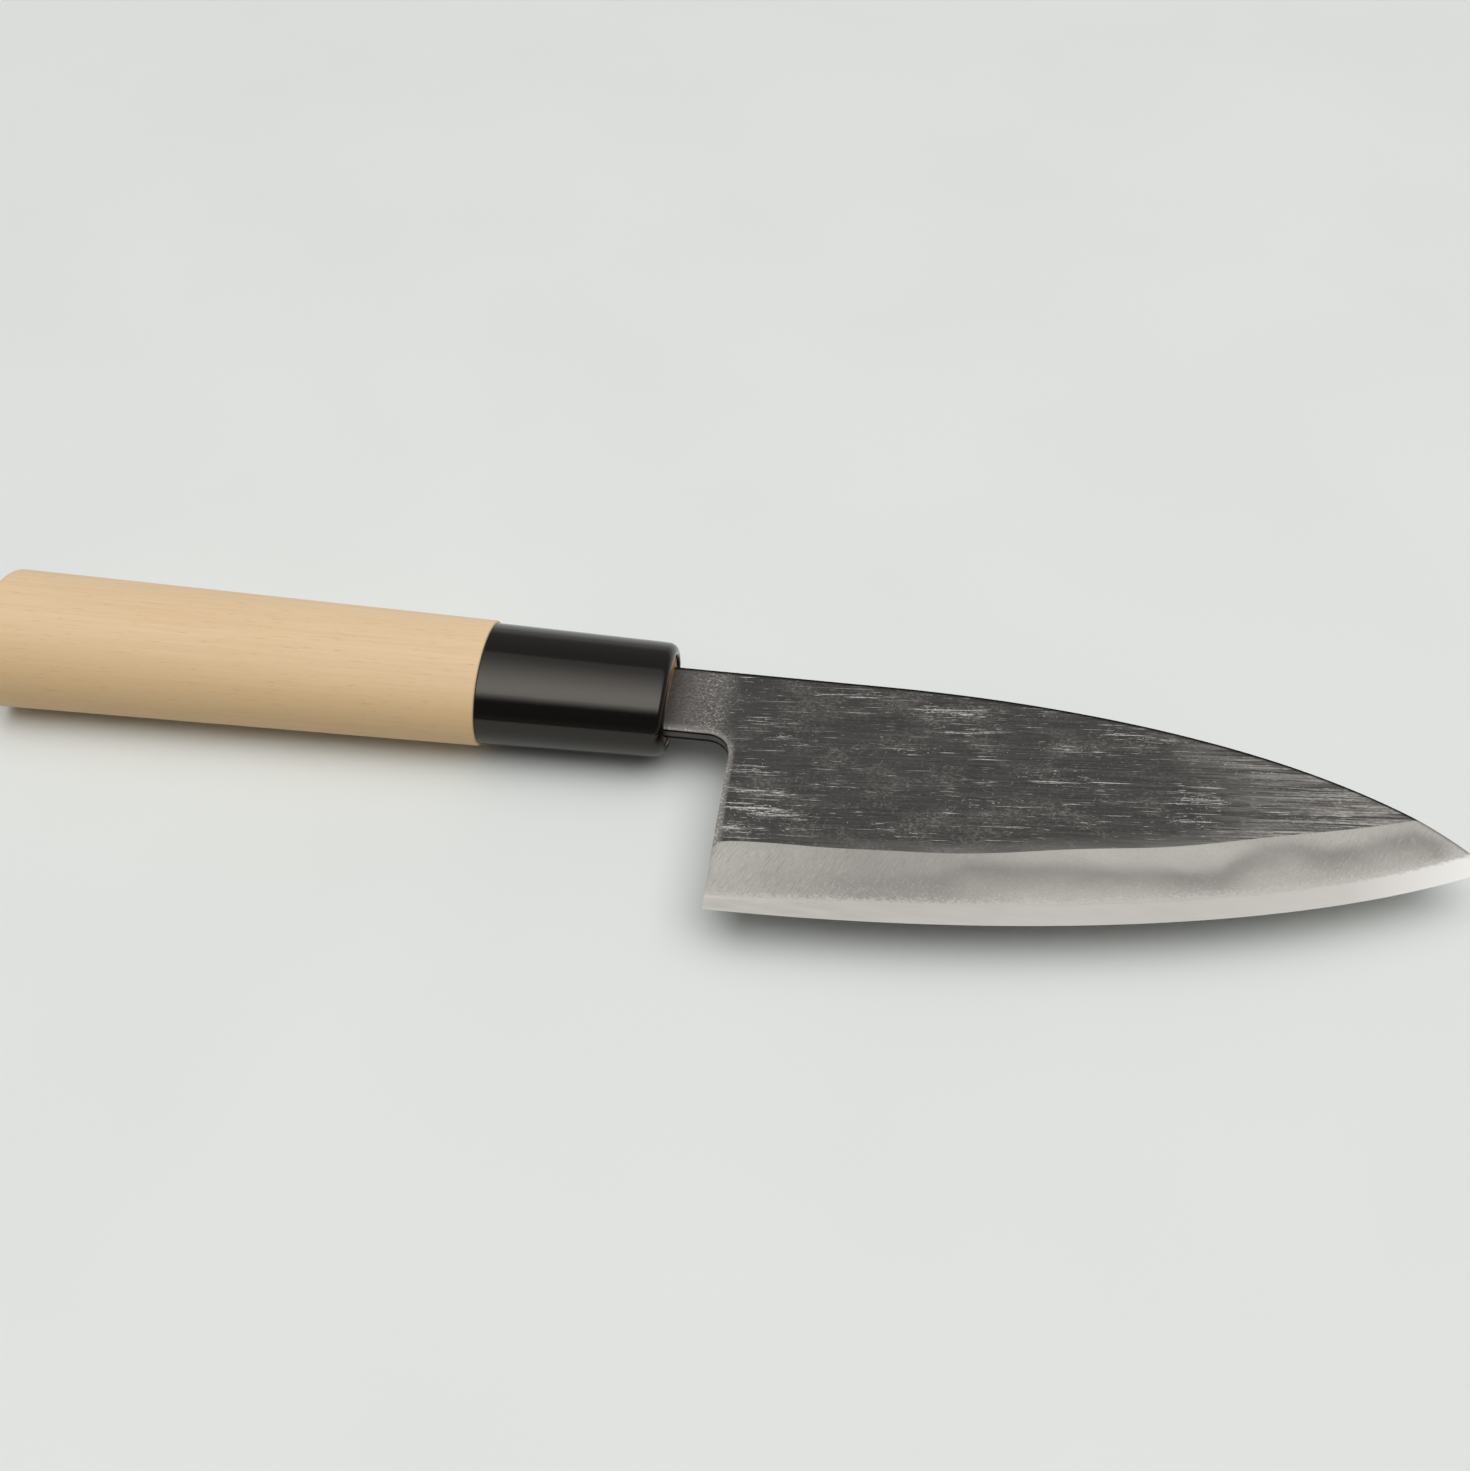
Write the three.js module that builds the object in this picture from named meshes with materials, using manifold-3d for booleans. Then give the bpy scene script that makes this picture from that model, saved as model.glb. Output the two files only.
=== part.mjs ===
// Ajikiri, a small fish knife: a laminated blade burnt into a wooden handle with a plastic ferrule.
// Millimetres. The knife lies on its left side: +X runs to the point, +Y to the spine, +Z is up.
// Lengths start at the joint between wood and ferrule, heights at the handle's middle line.
import * as THREE from 'three';
import { mergeVertices } from 'three/addons/utils/BufferGeometryUtils.js';
import Module from 'manifold-3d';

const wasm = await Module();
wasm.setup();

// Lengths along the knife
const GRIP_LENGTH = 85;
const FERRULE_LENGTH = 31;
const NECK_LENGTH = 11;
const BLADE_LENGTH = 118;
const TANG_LENGTH = 70;

// Oval handle: heights across Y; every section is thinner across Z by the same ratio
const OVAL_RATIO = 1.34;
const GRIP_BUTT_HEIGHT = 26.7;
const GRIP_JOINT_HEIGHT = 23.8;
const FERRULE_JOINT_HEIGHT = 22.9;
const FERRULE_MOUTH_HEIGHT = 21.5;
const FERRULE_WALL = 2.2;
const BUTT_ROUND = 2.2;
const SHOULDER_ROUND = 0.4;
const RIM_ROUND = 1.2;
const SPIGOT_RECESS = 0.2;
const FIT_GAP = 0.3;
const OVAL_SIDES = 48;
const ROUND_STEPS = 5;

// Blade outline: heights from the handle's middle line, and the pull of each curve's ends
const SPINE_HEIGHT = 6.7;
const NECK_BOTTOM = -7.5;
const NECK_FILLET = 4;
const HEEL_CORNER_HEIGHT = -41.7;
const POINT_HEIGHT = -19;
const SPINE_STRAIGHT = 24.5;
const SPINE_START_PULL = 30;
const SPINE_POINT_PULL = 29;
const SPINE_POINT_ANGLE = -45;
const EDGE_START_PULL = 15.3;
const EDGE_POINT_PULL = 46;
const EDGE_POINT_ANGLE = 27.7;

// Blade faces: the flat ends at the bevel line, and the bright core shows in a strip along the edge
const STOCK_THICKNESS = 2.4;
const CORE_THICKNESS = 1;
const BEVEL_LINE_HEEL = -29.5;
const BEVEL_LINE_POINT = -11.2;
const BEVEL_LINE_REACH = 108.4;
const BEVEL_LINE_POWER = 1.76;
const STRIP_HEEL_WIDTH = 2.7;
const STRIP_POINT_WIDTH = 4;
const BLADE_STATIONS = 59;

// Tang: it narrows from the neck to its blunt end
const TANG_END_HEIGHT = 6;
const TANG_END_THICKNESS = 1.8;
const FILLET_STEPS = 6;

const MOUTH_X = FERRULE_LENGTH;
const HEEL_X = MOUTH_X + NECK_LENGTH;
const POINT_X = HEEL_X + BLADE_LENGTH;
const TANG_END_X = MOUTH_X - TANG_LENGTH;
const SPIGOT_END_X = MOUTH_X - SPIGOT_RECESS;

// Closed solid from a geometry: shared corners merged, triangles of no area dropped
function solid(geometry) {
  const bare = geometry.clone();
  bare.deleteAttribute('normal');
  bare.deleteAttribute('uv');
  const merged = mergeVertices(bare);
  const corners = merged.index.array;
  const triangles = [];
  for (let i = 0; i < corners.length; i += 3) {
    const [a, b, c] = corners.slice(i, i + 3);
    if (a !== b && b !== c && c !== a) triangles.push(a, b, c);
  }
  return new wasm.Manifold(new wasm.Mesh({
    numProp: 3,
    vertProperties: merged.attributes.position.array,
    triVerts: new Uint32Array(triangles),
  }));
}

function geometryOf(shape) {
  const mesh = shape.getMesh();
  const geometry = new THREE.BufferGeometry();
  geometry.setAttribute('position', new THREE.BufferAttribute(mesh.vertProperties, mesh.numProp));
  geometry.setIndex(new THREE.BufferAttribute(mesh.triVerts, 1));
  geometry.computeVertexNormals();
  return geometry;
}

function subPart(name, shape, color, roughness, metalness) {
  const material = new THREE.MeshStandardMaterial({ color, roughness, metalness });
  const mesh = new THREE.Mesh(geometryOf(shape), material);
  mesh.name = name;
  return mesh;
}

// Skin over rings that follow one another along +X, closed by a fan across each end ring
function loft(rings) {
  const count = rings[0].length;
  const last = (rings.length - 1) * count;
  const index = [];
  for (let ring = 0; ring < last; ring += count) {
    for (let i = 0; i < count; i++) {
      const a = ring + i;
      const b = ring + (i + 1) % count;
      index.push(a, b, a + count, b, b + count, a + count);
    }
  }
  for (let i = 1; i < count - 1; i++) {
    index.push(0, i + 1, i, last, last + i, last + i + 1);
  }
  const geometry = new THREE.BufferGeometry().setFromPoints(rings.flat());
  return geometry.setIndex(index);
}

// Ring at x through [height, half thickness] rows, down the right face and back up the left
function ringAt(x, rows) {
  const right = rows.map(([y, half]) => new THREE.Vector3(x, y, half));
  const left = rows.map(([y, half]) => new THREE.Vector3(x, y, -half)).reverse();
  return [...right, ...left];
}

// Solid turned about the knife's length from a [radius, x] outline, pressed to the oval across Z
function turnedOval(outline) {
  const points = outline.map(([radius, x]) => new THREE.Vector2(radius, x));
  const geometry = new THREE.LatheGeometry(points, OVAL_SIDES);
  geometry.rotateZ(-Math.PI / 2);
  geometry.scale(1, 1, 1 / OVAL_RATIO);
  return solid(geometry);
}

// Quarter round of an outline about a [radius, x] centre, from one angle to another in degrees
function quarterRound(radius, x, size, from, to) {
  return Array.from({ length: ROUND_STEPS + 1 }, (_, step) => {
    const angle = THREE.MathUtils.degToRad(from + (to - from) * step / ROUND_STEPS);
    return [radius + size * Math.cos(angle), x + size * Math.sin(angle)];
  });
}

// Outline curve that starts level and comes down or up to the point at a given angle
function outlineCurve(start, startPull, point, pointAngle, pointPull) {
  const angle = THREE.MathUtils.degToRad(pointAngle);
  const back = new THREE.Vector2(Math.cos(angle), Math.sin(angle)).multiplyScalar(-pointPull);
  const leave = start.clone().add(new THREE.Vector2(startPull, 0));
  return new THREE.CubicBezierCurve(start, leave, point.clone().add(back), point);
}

// Height of an outline curve at x, by halving the stretch that holds x
function heightAt(curve, x) {
  let low = 0;
  let high = 1;
  for (let halving = 0; halving < 40; halving++) {
    const middle = (low + high) / 2;
    if (curve.getPoint(middle).x < x) low = middle;
    else high = middle;
  }
  return curve.getPoint(high).y;
}

const point = new THREE.Vector2(POINT_X, POINT_HEIGHT);
const spineStart = new THREE.Vector2(HEEL_X + SPINE_STRAIGHT, SPINE_HEIGHT);
const heelCorner = new THREE.Vector2(HEEL_X, HEEL_CORNER_HEIGHT);
const spineCurve = outlineCurve(spineStart, SPINE_START_PULL, point, SPINE_POINT_ANGLE, SPINE_POINT_PULL);
const edgeCurve = outlineCurve(heelCorner, EDGE_START_PULL, point, EDGE_POINT_ANGLE, EDGE_POINT_PULL);

// Section of the whole blade at x: spine, bevel line, top of the edge strip, edge.
// Past the place where a line runs out at the spine, the spine cuts the face below it.
function bladeRows(x) {
  const along = (x - HEEL_X) / BLADE_LENGTH;
  const spine = x < spineStart.x ? SPINE_HEIGHT : heightAt(spineCurve, x);
  const edge = heightAt(edgeCurve, x);
  const strip = edge + THREE.MathUtils.lerp(STRIP_HEEL_WIDTH, STRIP_POINT_WIDTH, along);
  const bevelRise = ((x - HEEL_X) / BEVEL_LINE_REACH) ** BEVEL_LINE_POWER;
  const bevel = THREE.MathUtils.lerp(BEVEL_LINE_HEEL, BEVEL_LINE_POINT, bevelRise);
  const halfAt = (y) => {
    if (y >= bevel) return STOCK_THICKNESS / 2;
    if (y < strip) return THREE.MathUtils.mapLinear(y, edge, strip, 0, CORE_THICKNESS / 2);
    return THREE.MathUtils.mapLinear(y, strip, bevel, CORE_THICKNESS / 2, STOCK_THICKNESS / 2);
  };
  const heights = [spine, Math.min(spine, bevel), Math.min(spine, strip), edge];
  return heights.map((y) => [y, halfAt(y)]);
}

function bladeSolid() {
  const rings = [];
  for (let station = 0; station <= BLADE_STATIONS; station++) {
    const x = HEEL_X + BLADE_LENGTH * station / BLADE_STATIONS;
    rings.push(ringAt(x, station < BLADE_STATIONS ? bladeRows(x) : Array(4).fill([POINT_HEIGHT, 0])));
  }
  return solid(loft(rings));
}

// Neck and tang, grown by a clearance when they cut their slot in the wood
function tangSolid(clearance) {
  const barAt = (x, top, bottom, thickness) => {
    const half = thickness / 2 + clearance;
    return ringAt(x, [[top + clearance, half], [bottom - clearance, half]]);
  };
  const tangEnd = TANG_END_HEIGHT / 2;
  const rings = [
    barAt(TANG_END_X - clearance, tangEnd, -tangEnd, TANG_END_THICKNESS),
    barAt(MOUTH_X, SPINE_HEIGHT, NECK_BOTTOM, STOCK_THICKNESS),
  ];
  for (let step = 0; step <= FILLET_STEPS; step++) {
    const turn = (Math.PI / 2) * step / FILLET_STEPS;
    const x = HEEL_X - NECK_FILLET * (1 - Math.sin(turn));
    const bottom = NECK_BOTTOM - NECK_FILLET * (1 - Math.cos(turn));
    rings.push(barAt(x, SPINE_HEIGHT, bottom, STOCK_THICKNESS));
  }
  return solid(loft(rings));
}

// Layer of the forged blade between two levels of Z
function layer(forging, bottom, top) {
  const slab = new THREE.BoxGeometry(2 * POINT_X, 2 * POINT_X, top - bottom);
  slab.translate(0, 0, (bottom + top) / 2);
  return forging.intersect(solid(slab));
}

function handleSolid() {
  const butt = GRIP_BUTT_HEIGHT / 2;
  const joint = GRIP_JOINT_HEIGHT / 2;
  const spigotBack = FERRULE_JOINT_HEIGHT / 2 - FERRULE_WALL - FIT_GAP;
  const spigotFront = FERRULE_MOUTH_HEIGHT / 2 - FERRULE_WALL - FIT_GAP;
  const turned = turnedOval([
    [0, -GRIP_LENGTH],
    ...quarterRound(butt - BUTT_ROUND, BUTT_ROUND - GRIP_LENGTH, BUTT_ROUND, -90, 0),
    ...quarterRound(joint - SHOULDER_ROUND, -SHOULDER_ROUND, SHOULDER_ROUND, 0, 90),
    [spigotBack, 0],
    [spigotFront, SPIGOT_END_X],
    [0, SPIGOT_END_X],
  ]);
  return turned.subtract(tangSolid(FIT_GAP));
}

function ferruleSolid() {
  const joint = FERRULE_JOINT_HEIGHT / 2;
  const mouth = FERRULE_MOUTH_HEIGHT / 2;
  return turnedOval([
    [joint - FERRULE_WALL, FIT_GAP],
    [joint, FIT_GAP],
    ...quarterRound(mouth - RIM_ROUND, MOUTH_X - RIM_ROUND, RIM_ROUND, 0, 90),
    [mouth - FERRULE_WALL, MOUTH_X],
    [joint - FERRULE_WALL, FIT_GAP],
  ]);
}

const forging = bladeSolid().add(tangSolid(0));
const coreHalf = CORE_THICKNESS / 2;
const stockHalf = STOCK_THICKNESS / 2;

const knife = new THREE.Group();
knife.add(
  subPart('hard_steel_core', layer(forging, -coreHalf, coreHalf), 0xc9c9c4, 0.3, 1),
  subPart('right_cladding', layer(forging, coreHalf, 2 * stockHalf), 0x4b4a48, 0.6, 0.6),
  subPart('left_cladding', layer(forging, -2 * stockHalf, -coreHalf), 0x4b4a48, 0.6, 0.6),
  subPart('handle', handleSolid(), 0xd8bd94, 0.6, 0),
  subPart('ferrule', ferruleSolid(), 0x1c1b1a, 0.25, 0),
);

// The origin is under the middle of the knife's box, on the surface that it lies on
knife.position.set(
  (GRIP_LENGTH - POINT_X) / 2,
  -(HEEL_CORNER_HEIGHT + GRIP_BUTT_HEIGHT / 2) / 2,
  GRIP_BUTT_HEIGHT / 2 / OVAL_RATIO,
);

export default knife;
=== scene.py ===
import math

import bmesh
import bpy
import numpy as np
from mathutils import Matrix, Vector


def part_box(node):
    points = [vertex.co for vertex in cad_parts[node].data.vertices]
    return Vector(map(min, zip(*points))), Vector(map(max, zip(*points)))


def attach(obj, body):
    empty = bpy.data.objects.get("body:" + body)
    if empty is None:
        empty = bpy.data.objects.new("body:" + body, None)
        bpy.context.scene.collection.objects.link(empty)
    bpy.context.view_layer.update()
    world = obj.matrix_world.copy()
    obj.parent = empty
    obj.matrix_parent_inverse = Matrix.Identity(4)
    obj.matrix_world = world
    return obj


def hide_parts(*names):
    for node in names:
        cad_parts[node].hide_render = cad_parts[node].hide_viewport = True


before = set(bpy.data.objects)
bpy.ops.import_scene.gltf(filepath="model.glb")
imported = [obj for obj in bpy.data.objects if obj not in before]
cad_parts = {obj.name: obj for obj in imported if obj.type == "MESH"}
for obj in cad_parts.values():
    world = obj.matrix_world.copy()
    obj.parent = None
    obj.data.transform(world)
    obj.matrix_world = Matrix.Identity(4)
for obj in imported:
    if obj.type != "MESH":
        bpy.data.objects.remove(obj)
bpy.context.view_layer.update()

# Hard steel core: the middle layer of the forge-welded blade, carbon steel 1 mm thick.
# It is ground bare in a bright strip along the edge, shows as a line round the blade's outline,
# and runs back through the neck into the hidden tang.

# All sizes are millimetres from the middle of the joint between wood and ferrule.
MM = 0.001
FIT_GAP = 0.3
ferrule_low, ferrule_high = (np.array(corner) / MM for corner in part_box("ferrule"))
JOINT = np.array([ferrule_low[0] - FIT_GAP, *((ferrule_low + ferrule_high) / 2)[1:]])
core_low, core_high = (np.array(corner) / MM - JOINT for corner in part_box("hard_steel_core"))
cladding_high = np.array(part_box("right_cladding")[1]) / MM - JOINT

MOUTH_X = ferrule_high[0] - JOINT[0]
NECK_LENGTH = 11.0
HEEL_X = MOUTH_X + NECK_LENGTH
TANG_END_X, POINT_X = core_low[0], core_high[0]
SPINE_HEIGHT, HEEL_CORNER_HEIGHT = core_high[1], core_low[1]
CORE_HALF, STOCK_HALF = core_high[2], cladding_high[2]
POINT_HEIGHT = -19.0
NECK_BOTTOM = -7.5
NECK_FILLET = 4.0
TANG_END_HALF_HEIGHT = 3.0
TANG_END_HALF = 0.9


def outline_curve(start, start_pull, point_angle, point_pull):
    """Cubic Bezier curve that leaves its start level and meets the blade's point at an angle in
    degrees, as dense rows of x and y."""
    angle = math.radians(point_angle)
    point = np.array([POINT_X, POINT_HEIGHT])
    corners = np.array([
        start,
        start + np.array([start_pull, 0.0]),
        point - point_pull * np.array([math.cos(angle), math.sin(angle)]),
        point,
    ])
    t = np.linspace(0.0, 1.0, 2001)[:, None]
    weights = np.hstack([(1 - t) ** 3, 3 * t * (1 - t) ** 2, 3 * t ** 2 * (1 - t), t ** 3])
    return (weights @ corners).T


SPINE_STRAIGHT = 24.5
SPINE_CURVE = outline_curve(np.array([HEEL_X + SPINE_STRAIGHT, SPINE_HEIGHT]), 30.0, -45.0, 29.0)
EDGE_CURVE = outline_curve(np.array([HEEL_X, HEEL_CORNER_HEIGHT]), 15.3, 27.7, 46.0)


def spine_line(x):
    """Height of the blade's back at x: level, then the curve down to the point."""
    return np.interp(x, *SPINE_CURVE)


def edge_line(x):
    """Height of the cutting edge at x."""
    return np.interp(x, *EDGE_CURVE)


STRIP_WIDTH = 3.95
STRIP_HEEL_WIDTH = 2.2
STRIP_EASE = 28.0


def strip_line(x):
    """Height where the core comes out of the bevel: above the edge by the strip's width at the heel,
    easing to its full width towards the point."""
    eased = np.exp(-(x - HEEL_X) / STRIP_EASE)
    return edge_line(x) + STRIP_WIDTH - (STRIP_WIDTH - STRIP_HEEL_WIDTH) * eased


BEVEL_HEEL_HEIGHT = -29.5
BEVEL_RISE = 18.3
BEVEL_REACH = 108.4
BEVEL_POWER = 1.85
BEVEL_WANDER = 0.25
WANDER_PITCH = 33.0
WANDER_CREST_X = 97.0
BEVEL_CORNER = 1.7
BEVEL_CORNER_LENGTH = 0.8
BEVEL_SWELL = 0.55
BEVEL_SWELL_X = 51.0
BEVEL_SWELL_LENGTH = 8.0


def bevel_line(x):
    """Height of the line between flat and bevel: a power curve up from the heel, with the slow
    wander and the low swell of a line ground by hand, and a corner that falls away at the heel."""
    along = np.maximum(x - HEEL_X, 0.0) / BEVEL_REACH
    wander = np.cos(2 * np.pi * (x - WANDER_CREST_X) / WANDER_PITCH)
    fade = np.clip(4 * along * (1 - along), 0, 1)
    corner = BEVEL_CORNER * np.exp(-along * BEVEL_REACH / BEVEL_CORNER_LENGTH)
    line = BEVEL_HEEL_HEIGHT + BEVEL_RISE * along ** BEVEL_POWER
    swell = BEVEL_SWELL * np.exp(-((x - BEVEL_SWELL_X) / BEVEL_SWELL_LENGTH) ** 2)
    return line + BEVEL_WANDER * fade * wander + swell - corner


def meets_spine(line):
    """First x past mid-blade where a line over the blade reaches the spine."""
    x = np.linspace(HEEL_X + BEVEL_REACH / 2, POINT_X, 6001)
    return x[np.argmax(line(x) >= spine_line(x))]


BEVEL_END_X = meets_spine(bevel_line)
STRIP_END_X = meets_spine(strip_line)


def blade_half(x, y):
    """Half thickness of the ground blade: full stock above the bevel line, a straight slope to half
    the core at the strip, and another from there to nothing at the edge."""
    bevel, strip, edge = bevel_line(x), strip_line(x), edge_line(x)
    on_bevel = CORE_HALF + (STOCK_HALF - CORE_HALF) * (y - strip) / (bevel - strip)
    on_strip = CORE_HALF * np.maximum(y - edge, 0.0) / (strip - edge)
    return np.where(y >= bevel, STOCK_HALF, np.where(y >= strip, on_bevel, on_strip))


def neck_outline(x):
    """Top, bottom and half thickness of the neck and tang at x: a tapered bar in the handle, a
    level neck, and a quarter round down into the heel."""
    taper = np.clip((x - TANG_END_X) / (MOUTH_X - TANG_END_X), 0, 1)
    top = TANG_END_HALF_HEIGHT + (SPINE_HEIGHT - TANG_END_HALF_HEIGHT) * taper
    turn = np.clip((x - HEEL_X) / NECK_FILLET + 1, 0, 1)
    drop = NECK_FILLET * (1 - np.sqrt(1 - turn ** 2))
    bottom = -TANG_END_HALF_HEIGHT + (NECK_BOTTOM + TANG_END_HALF_HEIGHT) * taper - drop
    return top, bottom, TANG_END_HALF + (STOCK_HALF - TANG_END_HALF) * taper


# Stations along the blade lie close together at the heel and the point, where the shape turns.
NECK_STATIONS = np.concatenate([
    np.linspace(TANG_END_X, MOUTH_X - 1, 12),
    np.linspace(MOUTH_X - 0.5, HEEL_X - NECK_FILLET, 12),
    HEEL_X - NECK_FILLET * np.cos(np.linspace(0, np.pi / 2, 15))[1:-1],
])
BLADE_STATIONS = np.concatenate([
    HEEL_X + 2.0 * np.linspace(0, 1, 17) ** 1.5,
    np.linspace(HEEL_X + 2.4, BEVEL_END_X - 3, 220),
    np.linspace(BEVEL_END_X - 2.6, BEVEL_END_X, 8),
    np.linspace(BEVEL_END_X, STRIP_END_X, 24)[1:],
])
POINT_STATIONS = np.linspace(STRIP_END_X, POINT_X, 14)[1:]
NECK_TO_HEEL = SPINE_HEIGHT - (NECK_BOTTOM - NECK_FILLET)


def throat_line(x):
    """Helper line over the flat, from the foot of the neck's fillet to the bevel's end, so that
    the neck's rows run on into the blade's."""
    left = np.clip((BEVEL_END_X - x) / (BEVEL_END_X - HEEL_X), 0, 1)
    return spine_line(x) - NECK_TO_HEEL * left


def quads(ids):
    """Four-sided faces between neighbours of a grid of vertex numbers, as rows of four."""
    return np.stack([ids[:-1, :-1], ids[:-1, 1:], ids[1:, 1:], ids[1:, :-1]], axis=-1).reshape(-1, 4)


def ringed(ids):
    """The same grid with its first column repeated at the end, so that its rows close."""
    return np.concatenate([ids, ids[:, :1]], axis=1)


def new_piece(name, points, faces, attributes=None, crisp=32.0):
    """Mesh object from points in millimetres: vertices that coincide are merged, faces that
    vanish are dropped, and edges that turn by more than crisp degrees stay sharp."""
    mesh = bpy.data.meshes.new(name)
    mesh.from_pydata(((points + JOINT) * MM).tolist(), [], faces)
    for key, values in (attributes or {}).items():
        mesh.attributes.new(key, "FLOAT", "POINT").data.foreach_set("value", values.astype(np.float32))
    shell = bmesh.new()
    shell.from_mesh(mesh)
    bmesh.ops.remove_doubles(shell, verts=shell.verts, dist=1e-7)
    shell.to_mesh(mesh)
    shell.free()
    mesh.shade_smooth()
    mesh.set_sharp_from_angle(angle=math.radians(crisp))
    piece = bpy.data.objects.new(name, mesh)
    bpy.context.scene.collection.objects.link(piece)
    return piece


STRIP_ROWS = 9


def core_mesh():
    """Slab of the core: rings of spine, throat, and rows down the strip to the edge, mirrored to
    the left face, carried from heel to point; a square bar runs back from the heel as the tang."""
    x = np.concatenate([BLADE_STATIONS, POINT_STATIONS])[:, None]
    spine = spine_line(x)
    strip = np.minimum(strip_line(x), spine)
    down = np.linspace(0, 1, STRIP_ROWS)
    y = np.hstack([spine, np.maximum(throat_line(x), strip), strip + (edge_line(x) - strip) * down])
    half = np.minimum(blade_half(x, y), CORE_HALF)
    half[:, -1] = 0.0
    rows = y.shape[1]
    ring_y = np.hstack([y, y[:, -2::-1]])
    ring_z = np.hstack([half, -half[:, -2::-1]])
    ring_x = np.broadcast_to(x, ring_y.shape)
    blade = np.stack([ring_x, ring_y, ring_z], axis=-1)

    neck_x = NECK_STATIONS[:, None]
    top, bottom, _ = neck_outline(neck_x)
    neck_y = np.hstack([top, bottom, bottom, top])
    neck_z = np.broadcast_to([CORE_HALF, CORE_HALF, -CORE_HALF, -CORE_HALF], neck_y.shape)
    neck = np.stack([np.broadcast_to(neck_x, neck_y.shape), neck_y, neck_z], axis=-1)

    blade_ids = np.arange(blade[..., 0].size).reshape(ring_y.shape)
    neck_ids = blade_ids.size + np.arange(neck_y.size).reshape(neck_y.shape)
    joined = np.vstack([neck_ids, blade_ids[0, [0, 1, -2, -1]]])
    right, left = blade_ids[0, 1:rows - 1], blade_ids[0, :-rows:-1][1:rows - 1]
    heel = np.stack([right[:-1], left[:-1], left[1:], right[1:]], axis=-1)
    faces = np.vstack([quads(ringed(blade_ids)), quads(ringed(joined)), heel]).tolist()
    faces.append([right[-1], left[-1], blade_ids[0, rows - 1]])
    faces.append(neck_ids[0, ::-1].tolist())
    points = np.vstack([blade.reshape(-1, 3), neck.reshape(-1, 3)])
    above_strip = points[:, 1] - strip_line(np.maximum(points[:, 0], HEEL_X))
    return points, faces, {"above_strip": above_strip}


def linear(hex_colour):
    """Linear colour with full alpha from an sRGB hex value."""
    srgb = np.array([int(hex_colour[i:i + 2], 16) for i in (1, 3, 5)]) / 255
    rgb = np.where(srgb <= 0.04045, srgb / 12.92, ((srgb + 0.055) / 1.055) ** 2.4)
    return (*rgb.tolist(), 1.0)


def add(tree, kind, inputs=(), **settings):
    """Adds one shader node. Settings are its properties; inputs fill its sockets, in order from a
    list or by name or number from a dict, with a value, a socket, or a node's first live output."""
    node = tree.nodes.new("ShaderNode" + kind)
    for name, value in settings.items():
        setattr(node, name, value)
    for key, value in inputs.items() if isinstance(inputs, dict) else enumerate(inputs):
        if isinstance(value, bpy.types.Node):
            value = next(socket for socket in value.outputs if socket.enabled)
        if isinstance(value, bpy.types.NodeSocket):
            tree.links.new(value, node.inputs[key])
        else:
            node.inputs[key].default_value = value
    return node


def new_material(name):
    """Empty node material: its tree, and a node that gives millimetres from the joint."""
    material = bpy.data.materials.new(name)
    material.use_nodes = True
    tree = material.node_tree
    tree.nodes.clear()
    place = add(tree, "Mapping", {
        "Vector": add(tree, "TexCoord").outputs["Object"],
        "Scale": (1 / MM,) * 3,
        "Location": tuple(-JOINT),
    })
    return material, tree, place


def grains(tree, place, along, across, start, end, turn=0.0, shift=0.0, detail=2.0, lift=None):
    """Mask of drawn-out grains, along by across millimetres and turned by degrees in the blade's
    plane: noise, raised by lift where there is one, that shows from its level start to its end."""
    drawn = add(tree, "Mapping", {
        "Vector": place,
        "Location": (shift, shift, 0.0),
        "Rotation": (0.0, 0.0, math.radians(turn)),
        "Scale": (along, across, across),
    }, vector_type="TEXTURE")
    noise = add(tree, "TexNoise", {"Vector": drawn, "Scale": 1.0, "Detail": detail})
    if lift:
        noise = add(tree, "Math", [noise, lift], operation="ADD")
    return add(tree, "MapRange", [noise, start, end])


def layer(tree, below, colour, *masks):
    """Colour over what lies below it, as far as all of its masks let it show: their product mixes
    the two."""
    mask = masks[0]
    for other in masks[1:]:
        mask = add(tree, "Math", [mask, other], operation="MULTIPLY")
    return add(tree, "Mix", {0: mask, 6: below, 7: linear(colour)}, data_type="RGBA")


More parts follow.
